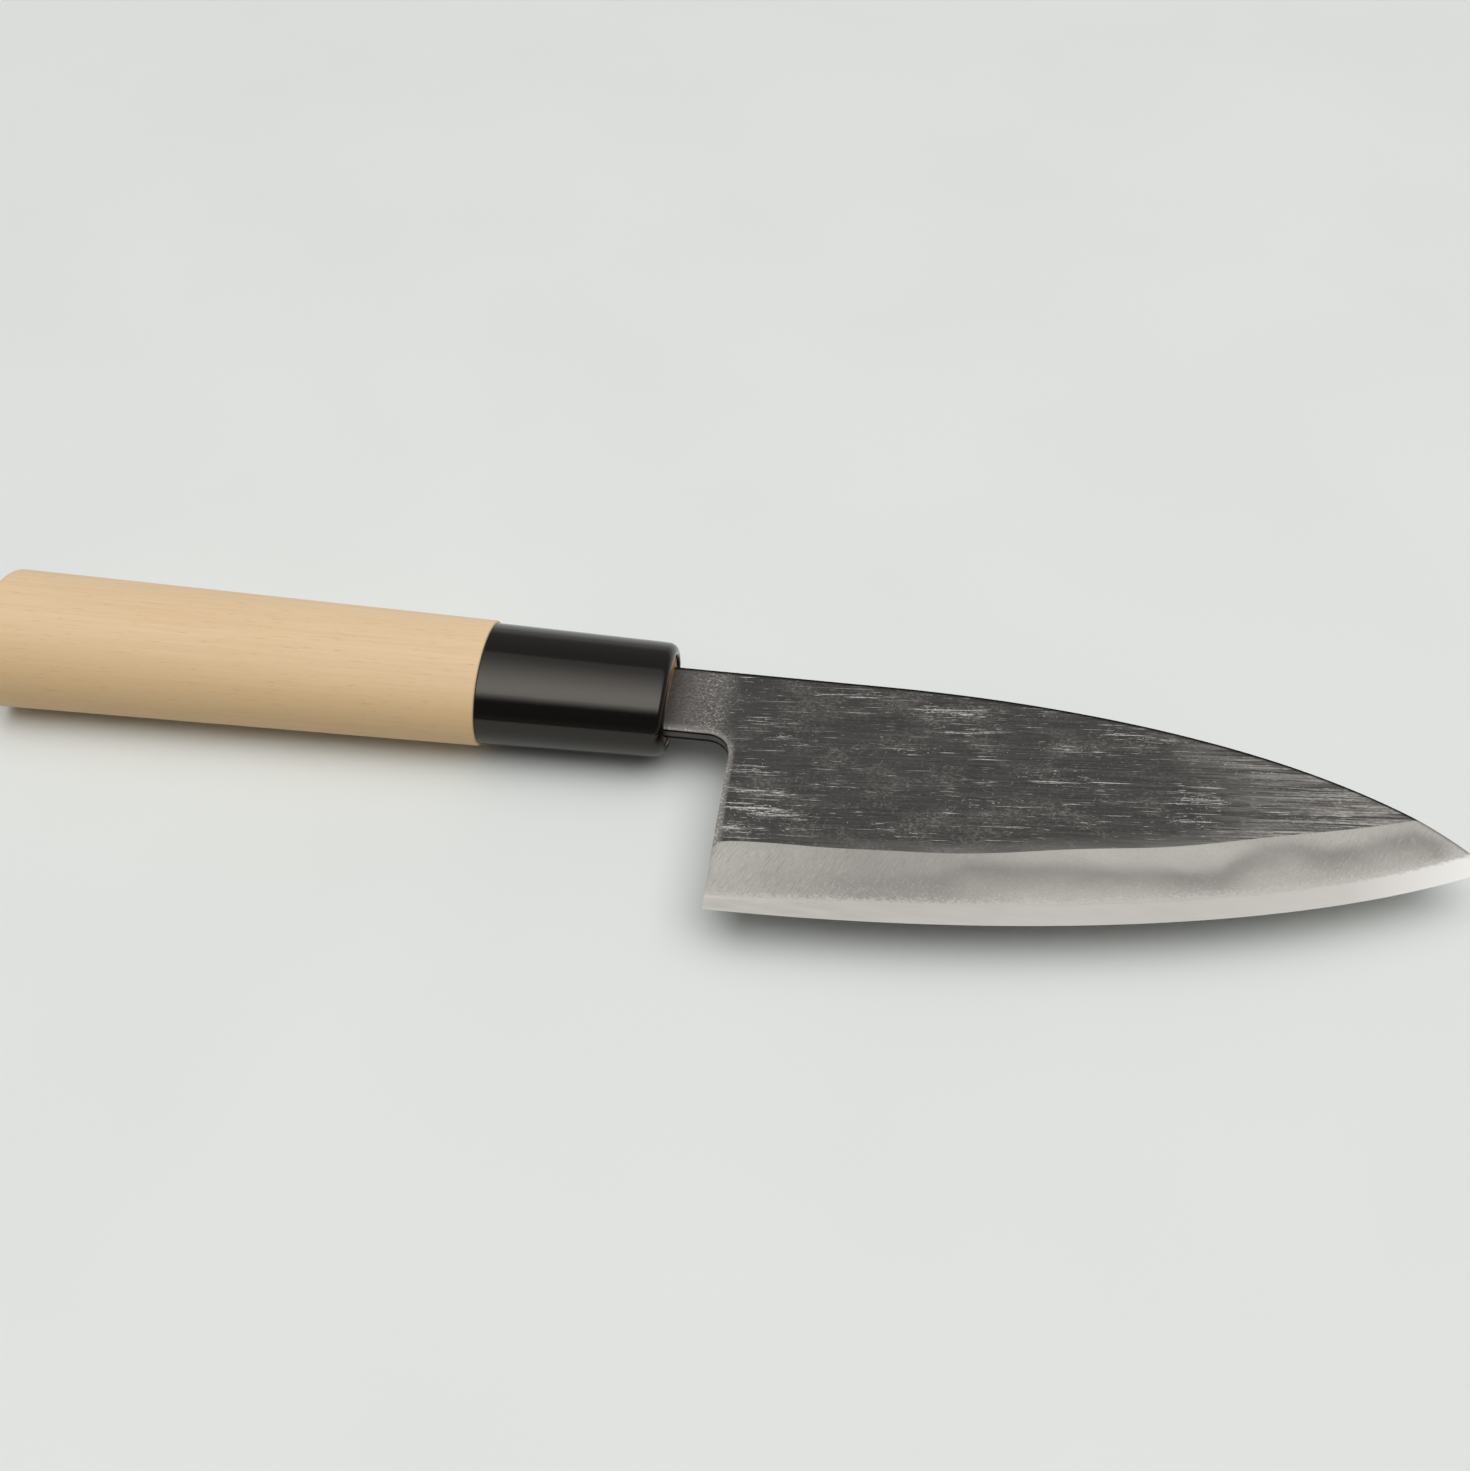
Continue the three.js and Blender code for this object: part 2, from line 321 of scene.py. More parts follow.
def core_steel():
    """Honed high-carbon steel: finely polished along the edge, so it is the brightest metal on the
    knife, made lighter towards the point as painted light, and dark with scale and painted shade where
    the layer shows along the spine, the heel and the neck. Places along the blade are x in
    millimetres, here and in the iron."""
    material, tree, place = new_material("honed_carbon_steel")
    x = add(tree, "SeparateXYZ", [place]).outputs["X"]
    # Painted light: the steel is made lighter from the heel towards the point, where more light falls
    steel = layer(tree, linear("#a19d98"), "#b8b4af", add(tree, "MapRange", [x, HEEL_X, 96.0]))
    clouds = grains(tree, place, 8.0, 1.5, 0.3, 0.7, shift=9.0, detail=3.0)
    steel = layer(tree, steel, "#c4c0bb", clouds, 0.3)
    steel = layer(tree, steel, "#c8c5c0", add(tree, "MapRange", [x, 112.0, 140.0]))
    steel = layer(tree, steel, "#f0eeea", add(tree, "MapRange", [x, 138.0, 158.0]))

    # A ragged border where the bevel's iron ends, and above it dark scale deepened by painted shade
    above = add(tree, "Attribute", attribute_name="above_strip").outputs["Fac"]
    speckle = grains(tree, place, 0.8, 0.5, 0.0, 1.0, shift=61.0, detail=4.0)
    ragged = add(tree, "Math", [speckle, 1.2, above], operation="MULTIPLY_ADD")
    steel = layer(tree, steel, "#b1ada8", add(tree, "MapRange", [ragged, 0.0, 0.7]), 0.8)
    scale_and_shade = add(tree, "MapRange", [above, 0.8, 1.6])
    steel = layer(tree, steel, "#57534f", scale_and_shade)
    metal = add(tree, "MapRange", [scale_and_shade, 0.0, 1.0, 1.0, 0.4])

    # Hone lines are finer than 0.02 mm, and are drawn at 0.12 mm so that they show
    hone_lines = grains(tree, place, 6.0, 0.12, 0.3, 0.7, detail=3.0)
    rough = add(tree, "MapRange", {"Value": hone_lines, "To Min": 0.48, "To Max": 0.56})
    bump = add(tree, "Bump", {"Height": hone_lines, "Distance": 1e-6, "Strength": 0.4})
    shader = add(tree, "BsdfPrincipled", {
        "Base Color": steel, "Metallic": metal, "Roughness": rough, "Normal": bump,
    })
    add(tree, "OutputMaterial", {"Surface": shader})
    return material


core = new_piece("core_steel", *core_mesh(), crisp=4.0)
core.data.materials.append(core_steel())
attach(core, "root")
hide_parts("hard_steel_core")

# Right and left cladding: soft iron forge-welded to both sides of the core. The flats keep the
# black scale of the fire, drawn into streaks along the blade by rubbing down; below the bevel line
# the iron is ground to a matte grey, and the neck and the heel's edge are filed. A painted highlight
# runs along the lower rim, and painted shade darkens the walls.

SPINE_ROUND = 0.35
NECK_ROUND = 0.45
HEEL_ROUND = 1.2
FILED_WIDTH = 0.8
FILED_FADE = 1.3
ROUND_DEPTH = 0.22
FORGE_WAVE = 0.02
WAVE_LENGTH, WAVE_HEIGHT = 5.3, 4.1
WAVE_RISE, WAVE_LEAN = 0.4, 0.13
ROUND_ROWS = np.array([0.0, 0.08, 0.18, 0.32, 0.5])
ROUND_SPAN = 1.5
UPPER_ROWS = 16
FLAT_ROWS = 34
BEVEL_ROWS = np.concatenate([[0.012, 0.03, 0.06], np.linspace(0.1, 1, 20)])


def rim_distance(x, y):
    """Distance from each point to the blade's lower rim: neck, fillet and heel, as a polyline."""
    turn = np.linspace(0, np.pi / 2, 13)
    rim = np.vstack([
        [TANG_END_X, NECK_BOTTOM],
        np.column_stack([
            HEEL_X - NECK_FILLET * (1 - np.sin(turn)),
            NECK_BOTTOM - NECK_FILLET * (1 - np.cos(turn)),
        ]),
        [HEEL_X, HEEL_CORNER_HEIGHT],
    ])
    start, run = rim[:-1], np.diff(rim, axis=0)
    away = np.stack([x, y], axis=-1)[..., None, :] - start
    share = np.clip((away * run).sum(-1) / (run ** 2).sum(-1), 0, 1)
    return np.linalg.norm(away - share[..., None] * run, axis=-1).min(-1)


def rim_width(y):
    """Width of the rounded rim: narrow at the neck, growing down the heel."""
    heel_top = NECK_BOTTOM - NECK_FILLET
    down = np.clip((heel_top - y) / (heel_top - BEVEL_HEEL_HEIGHT), 0, 1)
    return NECK_ROUND + (HEEL_ROUND - NECK_ROUND) * down


def face_height(x, y, half):
    """Height of the cladding's face over the blade's middle plane: the ground thickness, less the
    rounding at spine and rim and a faint waviness from the hammer."""
    spare = (half - CORE_HALF) / (STOCK_HALF - CORE_HALF)
    spine = np.where(x < HEEL_X, neck_outline(x)[0], spine_line(x))
    at_spine = np.clip(1 - (spine - y) / SPINE_ROUND, 0, 1) ** 2
    at_rim = np.clip(1 - rim_distance(x, y) / rim_width(y), 0, 1) ** 2
    wave = np.sin(x / WAVE_LENGTH + WAVE_RISE * y) * np.sin(y / WAVE_HEIGHT - WAVE_LEAN * x)
    drop = ROUND_DEPTH * np.maximum(at_spine, at_rim) + FORGE_WAVE * (0.5 + 0.5 * wave)
    return half - np.clip(spare, 0, 1) * drop


def upper_heights(top, foot):
    """Rows of the flat between its top and its foot, close together near both."""
    span = top - foot
    near = ROUND_ROWS * np.minimum(1, span / ROUND_SPAN)
    middle = near[:, -1:] + (span - 2 * near[:, -1:]) * np.linspace(0, 1, UPPER_ROWS)[1:-1]
    return top - np.hstack([near, middle, span - near[:, ::-1]])


# Places where the scale is rubbed through: x, height, half length, half height, strength.
WORN_PLACES = np.array([
    [49.0, -22.7, 8.0, 1.6, 0.95],
    [48.5, -18.8, 7.0, 1.0, 0.8],
    [46.0, -14.5, 5.0, 1.3, 0.75],
    [45.0, -26.5, 6.0, 1.5, 0.75],
    [60.0, -16.0, 5.0, 1.2, 0.45],
    [63.5, 4.2, 6.0, 1.2, 0.6],
    [77.0, 2.0, 8.0, 1.6, 0.8],
    [79.5, -2.0, 7.0, 1.2, 0.5],
    [70.5, -6.9, 6.0, 1.3, 0.5],
    [85.0, -16.7, 8.0, 1.2, 0.4],
    [97.0, -3.3, 6.0, 1.5, 0.55],
    [97.0, -9.6, 6.0, 1.3, 0.4],
    [106.7, 0.7, 7.0, 1.6, 0.6],
    [117.5, -12.0, 6.0, 1.7, 0.7],
    [115.0, -16.0, 5.0, 1.3, 0.6],
    [125.0, -3.6, 7.0, 2.0, 0.5],
    [129.0, -13.0, 8.0, 3.0, 0.5],
    [135.0, -8.5, 9.0, 3.5, 0.4],
])


def rubbed_through(x, y):
    """Wear of the scale from 0 to 1: soft ovals at the worn places, the strongest of them."""
    place_x, place_y, length, height, strength = WORN_PLACES.T
    away = ((x[:, None] - place_x) / length) ** 2 + ((y[:, None] - place_y) / height) ** 2
    return (strength * np.exp(-away)).max(axis=1)


# A darker cloud wanders along the bevel to the point: x and height of its crest.
HAZE_CREST = np.array([
    [50.0, -34.5], [66.0, -34.5], [76.0, -33.0], [81.0, -29.7], [88.0, -29.3], [98.0, -28.3],
    [107.0, -27.4], [114.0, -27.1], [119.0, -26.0], [122.5, -23.0], [126.0, -20.8], [130.0, -19.8],
    [136.0, -19.8], [141.0, -18.3], [146.0, -16.0], [149.0, -14.8], [152.5, -15.7],
])
HAZE_ABOVE = 1.7
HAZE_BELOW = 3.4
HAZE_START_X, HAZE_FADE_IN = 46.0, 40.0
HAZE_END_X, HAZE_FADE_OUT = 159.0, 6.0


def haze(x, y):
    """Depth of the cloud from 0 to 1: sharper above its crest than below, fading in from the heel
    and out at the point."""
    off = y - np.interp(x, *HAZE_CREST.T)
    spread = np.where(off > 0, HAZE_ABOVE, HAZE_BELOW)
    fade_in = np.clip((x - HAZE_START_X) / HAZE_FADE_IN, 0, 1)
    fade_out = np.clip((HAZE_END_X - x) / HAZE_FADE_OUT, 0, 1)
    return np.exp(-(off / spread) ** 2) * fade_in * fade_out


def cladding_mesh(side):
    """Shell of one cladding: rings of rows down the face from spine to strip and back over the
    weld, carried from heel to strip's end, with the neck's shorter rings joined on behind."""
    x = BLADE_STATIONS[:, None]
    spine = spine_line(x)
    throat = np.minimum(throat_line(x), spine)
    bevel = np.minimum(bevel_line(x), spine)
    strip = np.minimum(strip_line(x), spine)
    upper = upper_heights(spine, throat)
    flat = throat + (bevel - throat) * np.linspace(0, 1, FLAT_ROWS)[1:]
    ground = bevel + (strip - bevel) * BEVEL_ROWS
    face_y = np.hstack([upper, flat, ground])
    face_x = np.broadcast_to(x, face_y.shape)
    face_z = face_height(face_x, face_y, np.maximum(blade_half(face_x, face_y), CORE_HALF))
    face_z[:, -1] = CORE_HALF
    ring_y = np.hstack([face_y, throat, spine])
    ring_z = np.hstack([face_z, np.full((len(x), 2), CORE_HALF)])
    blade = np.stack([np.broadcast_to(x, ring_y.shape), ring_y, ring_z], axis=-1)

    neck_x = NECK_STATIONS[:, None]
    top, bottom, half = neck_outline(neck_x)
    neck_y = upper_heights(top, bottom)
    neck_xs = np.broadcast_to(neck_x, neck_y.shape)
    neck_z = face_height(neck_xs, neck_y, np.broadcast_to(half, neck_y.shape))
    neck_y = np.hstack([neck_y, bottom, top])
    neck_z = np.hstack([neck_z, np.full((len(neck_x), 2), CORE_HALF)])
    neck = np.stack([np.broadcast_to(neck_x, neck_y.shape), neck_y, neck_z], axis=-1)

    blade_ids = np.arange(ring_y.size).reshape(ring_y.shape)
    neck_ids = blade_ids.size + np.arange(neck_y.size).reshape(neck_y.shape)
    upper_count = upper.shape[1]
    first = blade_ids[0]
    joined = np.vstack([neck_ids, np.concatenate([first[:upper_count], first[-2:]])])
    heel_face = first[upper_count - 1:-2]
    heel = np.stack([np.full(len(heel_face) - 1, first[-2]), heel_face[1:], heel_face[:-1]], axis=-1)
    faces = np.vstack([quads(ringed(blade_ids)), quads(ringed(joined))]).tolist()
    faces += heel.tolist() + [neck_ids[0, ::-1].tolist()]
    points = np.vstack([blade.reshape(-1, 3), neck.reshape(-1, 3)])
    if side < 0:
        points = points * [1, 1, -1]
        faces = [face[::-1] for face in faces]
    on_blade = np.maximum(points[:, 0], HEEL_X)
    spine = np.where(points[:, 0] < HEEL_X, SPINE_HEIGHT, spine_line(on_blade))
    rim = rim_distance(points[:, 0], points[:, 1])
    filed_width = np.maximum(rim_width(points[:, 1]), FILED_WIDTH)
    return points, faces, {
        "above_bevel": points[:, 1] - bevel_line(on_blade),
        "above_strip": points[:, 1] - strip_line(on_blade),
        "below_spine": spine - points[:, 1],
        "filed_rim_and_highlight": np.clip(FILED_FADE - rim / filed_width, 0, 1),
        "rubbed": rubbed_through(points[:, 0], points[:, 1]),
        "haze": haze(points[:, 0], points[:, 1]),
    }


STROKE_TURN = 4.7


def forge_scale(tree, place):
    """Scale as the fire left it, charcoal black: its colour, in long hair-fine lines with broader soft
    bands, blotches and a fine dust, and the masks of its lines and bands."""
    lines = grains(tree, place, 14.0, 0.3, 0.3, 0.7, turn=STROKE_TURN, shift=3.0, detail=2.0)
    scale = layer(tree, linear("#1c1b1a"), "#464440", lines)
    bands = grains(tree, place, 30.0, 2.2, 0.36, 0.66, turn=STROKE_TURN, shift=5.0, detail=3.0)
    scale = layer(tree, scale, "#262524", bands, 0.5)
    blotches = grains(tree, place, 7.0, 4.0, 0.46, 0.66, shift=15.0, detail=4.0)
    scale = layer(tree, scale, "#55534e", blotches, 0.2)
    dust = grains(tree, place, 0.5, 0.34, 0.44, 0.7, shift=17.0, detail=3.0)
    dusted = add(tree, "MapRange", [blotches, 0.0, 1.0, 0.08, 0.5])
    return layer(tree, scale, "#85827b", dust, dusted), lines, bands


def worn_iron(tree, place, rubbed):
    """Mask of the bare iron that shows through the scale: streaks, dashes and specks, more where it is
    rubbed, and stray scratches across them. Scratches are drawn at 0.13 mm or more so that they show."""
    islands = grains(tree, place, 9.0, 2.6, 0.5, 0.75, turn=STROKE_TURN, shift=31.0)
    islands = add(tree, "Math", [islands, 0.45], operation="MULTIPLY")
    wear = add(tree, "Math", [rubbed, islands], operation="MAXIMUM")
    lift = add(tree, "MapRange", {"Value": wear, "To Min": 0.0, "To Max": 0.17})
    stroke = {"turn": STROKE_TURN, "lift": lift}
    streaks = grains(tree, place, 10.0, 0.22, 0.68, 0.75, shift=41.0, detail=3.0, **stroke)
    dashes = grains(tree, place, 3.0, 0.17, 0.69, 0.75, shift=11.0, **stroke)
    bare = add(tree, "Math", [streaks, dashes], operation="MAXIMUM")
    broken = grains(tree, place, 0.6, 0.3, 0.36, 0.56, shift=47.0, detail=3.0)
    broken = add(tree, "MapRange", [broken, 0.0, 1.0, 0.35, 1.0])
    bare = add(tree, "Math", [bare, broken], operation="MULTIPLY")
    specks = grains(tree, place, 0.42, 0.26, 0.74, 0.79, shift=19.0, lift=lift)
    leaning = grains(tree, place, 3.2, 0.13, 0.72, 0.78, turn=68.0, shift=23.0)
    crossing = grains(tree, place, 4.0, 0.13, 0.73, 0.79, turn=-14.0, shift=27.0)
    for marks, strength in ((specks, 0.8), (leaning, 0.45), (crossing, 0.45)):
        shown = add(tree, "Math", [marks, strength], operation="MULTIPLY")
        bare = add(tree, "Math", [bare, shown], operation="MAXIMUM")
    return bare


def thinned_scale(tree, place, flat, bands, spot, above_bevel):
    """The flat's colour where its scale is thin: greyer, in longer streaks, towards the point and just
    over the bevel there, and half rubbed in a band along the bevel line."""
    x, y = spot.outputs["X"], spot.outputs["Y"]
    thin_lines = grains(tree, place, 12.0, 0.36, 0.4, 0.6, turn=STROKE_TURN, shift=53.0, detail=4.0)
    thin_bands = grains(tree, place, 16.0, 1.5, 0.4, 0.58, turn=STROKE_TURN, shift=59.0)
    thin_bands = add(tree, "MapRange", [thin_bands, 0.0, 1.0, 0.3, 1.0])
    onward = add(tree, "Math", [y, 0.45, x], operation="MULTIPLY_ADD")
    over_bevel = add(tree, "MapRange", [above_bevel, 4.0, 0.5, 0.0, 14.0])
    onward = add(tree, "Math", [onward, over_bevel], operation="ADD")
    thin = add(tree, "MapRange", [onward, 109.0, 135.0, 0.0, 0.85])
    flat = layer(tree, flat, "#aeaaa4", thin, thin_lines, thin_bands)
    mottle = grains(tree, place, 0.7, 0.34, 0.46, 0.66, shift=57.0, detail=3.0)
    flat = layer(tree, flat, "#454340", thin, mottle, 0.7)

    band_edge = add(tree, "Math", [bands, 1.4, above_bevel], operation="MULTIPLY_ADD")
    band = add(tree, "MapRange", [band_edge, 3.4, 0.6, 0.0, 0.5])
    band_start = add(tree, "MapRange", [x, 50.0, 74.0])
    band_end = add(tree, "MapRange", [x, 128.0, 112.0])
    return layer(tree, flat, "#75726d", band, band_start, band_end)


def filed_iron(tree, place, x, grit):
    """Colour of the filed neck: grey iron speckled by the file, brighter towards the heel, with painted
    shade darkening it into the ferrule's mouth, and stray dark hairlines along it."""
    filed = layer(tree, linear("#45423f"), "#6f6b66", grit)
    patches = grains(tree, place, 2.4, 1.4, 0.4, 0.66, shift=67.0, detail=3.0)
    filed = layer(tree, filed, "#4d4a46", patches, 0.5)
    filings = grains(tree, place, 0.34, 0.26, 0.54, 0.64, shift=69.0, detail=3.0)
    brighter = add(tree, "MapRange", [x, 33.5, 38.0, 0.1, 0.6])
    filed = layer(tree, filed, "#b5b0a9", filings, brighter)
    hairs = grains(tree, place, 9.0, 0.15, 0.66, 0.7, shift=73.0)
    filed = layer(tree, filed, "#2a2826", hairs, 0.7)
    # Painted shade: the neck darkens into the ferrule's mouth
    return layer(tree, filed, "#413c38", add(tree, "MapRange", [x, 35.0, MOUTH_X]), 0.6)


def ground_iron(tree, place, x, clouded, above_strip, grit, scuffs):
    """Colour of the bevel, pale matte iron off the stone: duller a little past the heel, lighter at the
    point as painted light, with a darker wandering cloud, slanting scratches and bright pits along the
    strip; and the scratches' mask."""
    clouds = grains(tree, place, 11.0, 5.0, 0.32, 0.68, shift=71.0, detail=3.0)
    ground = layer(tree, linear("#bdb9b3"), "#c6c2bc", clouds)
    dull_start = add(tree, "MapRange", [x, HEEL_X - 4.0, 66.0])
    dull_end = add(tree, "MapRange", [x, 90.0, 78.0])
    ground = layer(tree, ground, "#8f8b86", dull_start, dull_end, 0.55)
    cloud_depth = add(tree, "MapRange", [clouds, 0.0, 1.0, 0.7, 0.5])
    ground = layer(tree, ground, "#85817d", clouded, cloud_depth)
    # Painted light: the bevel is lighter at the point
    ground = layer(tree, ground, "#dedbd6", add(tree, "MapRange", [x, 152.0, 160.0]))

    # The stone's grit is about 0.03 mm, and its grain is drawn ten times coarser so that it shows
    grain = grains(tree, place, 0.4, 0.3, 0.35, 0.68, shift=79.0, detail=3.0)
    ground = layer(tree, ground, "#86827d", grain, 0.14)

    # Scratches are strongest by the heel and the tip
    by_heel = add(tree, "MapRange", [x, 92.0, 56.0, 0.06, 0.4])
    by_tip = add(tree, "MapRange", [x, 116.0, 134.0, 0.0, 0.25])
    scratched = add(tree, "Math", [by_heel, by_tip], operation="MAXIMUM")
    slants = grains(tree, place, 4.0, 0.16, 0.54, 0.68, turn=67.0, shift=83.0)
    ground = layer(tree, ground, "#8a8680", slants, scratched)
    glints = grains(tree, place, 2.4, 0.14, 0.6, 0.7, turn=63.0, shift=87.0)
    ground = layer(tree, ground, "#e2dfda", glints, scratched)

    # Paler seam and pits just above the strip
    seam = add(tree, "Math", [grit, 1.2, above_strip], operation="MULTIPLY_ADD")
    ground = layer(tree, ground, "#cbc7c1", add(tree, "MapRange", [seam, 1.6, 0.6]), 0.7)
    pits = add(tree, "MapRange", [above_strip, 5.0, 0.5])
    return layer(tree, ground, "#dcd9d3", scuffs, pits, 0.3), slants


def forged_iron():
    """Soft iron from the forge: black scale worn through to bare metal in streaks, a filed neck and
    heel, and below the bevel line a matte stone-ground grey."""
    material, tree, place = new_material("forge_scaled_iron")
    spot = add(tree, "SeparateXYZ", [place])
    x, y = spot.outputs["X"], spot.outputs["Y"]
    above_bevel, above_strip, below_spine, filed_rim_and_highlight, rubbed, clouded = (
        add(tree, "Attribute", attribute_name=name).outputs["Fac"]
        for name in ("above_bevel", "above_strip", "below_spine", "filed_rim_and_highlight", "rubbed", "haze")
    )
    grit = grains(tree, place, 0.5, 0.38, 0.36, 0.66, shift=61.0, detail=3.0)
    scuffs = grains(tree, place, 0.4, 0.3, 0.56, 0.66, shift=63.0)

    flat, lines, bands = forge_scale(tree, place)
    bare = worn_iron(tree, place, rubbed)
    flat = layer(tree, flat, "#dbd7d1", bare, 0.95)
    flat = thinned_scale(tree, place, flat, bands, spot, above_bevel)

    # The neck is filed up to a ragged border at the heel, and so is the rim: scuffed, with a painted
    # highlight
    border = add(tree, "Math", [lines, 3.0, x], operation="MULTIPLY_ADD")
    in_neck = add(tree, "MapRange", [border, 43.4, 40.6])
    filed = filed_iron(tree, place, x, grit)
    flat = add(tree, "Mix", {0: in_neck, 6: flat, 7: filed}, data_type="RGBA")
    rim = add(tree, "MapRange", [y, -9.0, -24.0, 0.8, 1.0])
    rim = add(tree, "Math", [filed_rim_and_highlight, rim], operation="MULTIPLY")
    flat = layer(tree, flat, "#85817b", rim)
    flat = layer(tree, flat, "#d2cec8", rim, scuffs, 0.8)

    # Flat and bevel meet at the bevel line; walls and the spine's edge get dark scale and painted shade
    ground, slants = ground_iron(tree, place, x, clouded, above_strip, grit, scuffs)
    bevel = add(tree, "MapRange", [above_bevel, 0.04, -0.04])
    body = add(tree, "Mix", {0: bevel, 6: flat, 7: ground}, data_type="RGBA")
    facing = add(tree, "SeparateXYZ", [add(tree, "NewGeometry").outputs["Normal"]]).outputs["Z"]
    level = add(tree, "Math", [facing], operation="ABSOLUTE")
    upright = add(tree, "MapRange", [level, 0.7, 0.4])
    spine_edge = add(tree, "MapRange", [below_spine, 0.9, 0.4])
    off_bevel = add(tree, "MapRange", [bevel, 0.0, 1.0, 1.0, 0.3])
    spine_edge = add(tree, "Math", [spine_edge, off_bevel], operation="MULTIPLY")
    wall_scale_and_shade = add(tree, "Math", [upright, spine_edge], operation="MAXIMUM")
    body = layer(tree, body, "#1b1a19", wall_scale_and_shade)

    # Gloss and relief follow how bare each place is, and the walls, dark with painted shade, shine
    # little
    rubbed_bare = add(tree, "Math", [bare, 0.6], operation="MULTIPLY")
    metal = add(tree, "Math", [bevel, rubbed_bare], operation="MAXIMUM")
    rough = add(tree, "MapRange", {"Value": metal, "To Min": 0.55, "To Max": 0.6})
    metal = add(tree, "Math", [metal, wall_scale_and_shade], operation="MAXIMUM")
    relief = add(tree, "Math", [slants, bare], operation="ADD")
    bump = add(tree, "Bump", {"Height": relief, "Distance": 3e-6, "Strength": 0.5}, invert=True)
    shader = add(tree, "BsdfPrincipled", {
        "Base Color": body, "Metallic": metal, "Roughness": rough, "Normal": bump,
    })
    add(tree, "OutputMaterial", {"Surface": shader})
    return material


forge_finish = forged_iron()
for side, node in ((1, "right_cladding"), (-1, "left_cladding")):
    cladding = new_piece(node + "_iron", *cladding_mesh(side))
    cladding.data.materials.append(forge_finish)
    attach(cladding, "root")
    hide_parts(node)

# Handle: one length of magnolia, turned to an oval that swells to the butt and sanded to a satin.
# Its front is a spigot that fills the ferrule, with a slot burnt into it by the hot tang; the end
# grain that shows round the neck is darkened as scorched wood and as painted shade.

handle_low, handle_high = (np.array(corner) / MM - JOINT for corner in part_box("handle"))
SPIGOT_SET_BACK = 0.3
SPIGOT_EDGE = 0.25
BUTT_X, SPIGOT_END_X = handle_low[0], handle_high[0] - SPIGOT_SET_BACK
BUTT_HALF = handle_high[1]
OVAL_RATIO = handle_high[1] / handle_high[2]
GRIP_JOINT_HALF = 11.9
BUTT_ROUND = 0.7
BUTT_DOME = 0.15
SHOULDER_ROUND = 0.45
FERRULE_WALL = 2.2
FERRULE_JOINT_HALF = ferrule_high[1] - JOINT[1]
FERRULE_MOUTH_HALF = 10.75
TIGHT_GAP = 0.03
SLOT_GAP = 0.12
SLOT_FOOT_GAP = 0.9
SLOT_SQUARENESS = 9.0
OVAL_SIDES = 192


def oval_rings(rows):
    """Rings round the handle's length. Each row gives x, half height, half thickness, squareness
    and the height of its middle; squareness 2 is an ellipse, and more is nearer a rectangle."""
    x, tall, thick, squareness, middle = np.array(rows, float).T[..., None]
    turn = np.linspace(0, 2 * np.pi, OVAL_SIDES, endpoint=False)
    lean = 2 / squareness
    y = middle + tall * np.sign(np.cos(turn)) * np.abs(np.cos(turn)) ** lean
    z = thick * np.sign(np.sin(turn)) * np.abs(np.sin(turn)) ** lean
    return np.stack([np.broadcast_to(x, y.shape), y, z], axis=-1)


def oval(x, tall):
    """Row of a plain oval ring."""
    return [x, tall, tall / OVAL_RATIO, 2.0, 0.0]


def quarter_round(x, tall, size, start, end, steps=8):
    """Rows of a quarter round about a centre at x and half height, between two angles."""
    return [
        oval(x + size * math.sin(angle), tall + size * math.cos(angle))
        for angle in np.radians(np.linspace(start, end, steps + 1))
    ]


def handle_rows():
    """Rows from the middle of the butt over the grip, shoulder and spigot, across its end grain and
    down into the slot."""
    spigot_back = FERRULE_JOINT_HALF - FERRULE_WALL - TIGHT_GAP
    spigot_front = FERRULE_MOUTH_HALF - FERRULE_WALL - TIGHT_GAP
    butt_edge = BUTT_HALF - BUTT_ROUND
    crown = [oval(BUTT_X + BUTT_DOME * s ** 2, butt_edge * s) for s in np.linspace(0, 1, 9)[:-1]]
    butt = quarter_round(BUTT_X + BUTT_DOME + BUTT_ROUND, butt_edge, BUTT_ROUND, -90, 0)
    front = quarter_round(-SHOULDER_ROUND, GRIP_JOINT_HALF - SHOULDER_ROUND, SHOULDER_ROUND, 0, 90)
    first, last = butt[-1], front[0]
    grip = [[a + (b - a) * s for a, b in zip(first, last)] for s in np.linspace(0, 1, 60)[1:-1]]
    rim_x = SPIGOT_END_X - SPIGOT_EDGE
    spigot = [oval(0.0, spigot_back), oval(rim_x, spigot_front)]
    rim = quarter_round(rim_x, spigot_front - SPIGOT_EDGE, SPIGOT_EDGE, 0, 90, 3)[1:]
    top, foot = SPINE_HEIGHT + SLOT_GAP, NECK_BOTTOM - SLOT_FOOT_GAP
    mouth = [SPIGOT_END_X, (top - foot) / 2, STOCK_HALF + SLOT_GAP, SLOT_SQUARENESS, (top + foot) / 2]
    half_way = [(a + b) / 2 for a, b in zip(rim[-1], mouth)]
    end = [TANG_END_X - SLOT_GAP, TANG_END_HALF_HEIGHT + SLOT_GAP, TANG_END_HALF + SLOT_GAP,
           SLOT_SQUARENESS, 0.0]
    steps = np.concatenate([[0.0, 0.002], np.linspace(0, 1, 9)[1:]])
    slot = [[a + (b - a) * s for a, b in zip(mouth, end)] for s in steps]
    slot.append([end[0], 0.0, 0.0, SLOT_SQUARENESS, 0.0])
    outside = crown + butt + grip + front + spigot + rim + [half_way]
    in_slot = np.repeat([0.0] * (len(outside) + 1) + [1.0] * (len(slot) - 1), OVAL_SIDES)
    return outside + slot, {"in_slot": in_slot}


def oval_mesh(rows):
    """Skin over oval rings, each ring joined to the next."""
    rings = oval_rings(rows)
    ids = np.arange(rings[..., 0].size).reshape(rings.shape[:2])
    return rings.reshape(-1, 3), quads(ringed(ids)).tolist()


# Middle of the log the handle was cut from, in height and thickness, and the width of its rings.
PITH = (26.0, 14.0)
RING_WIDTH = 2.3


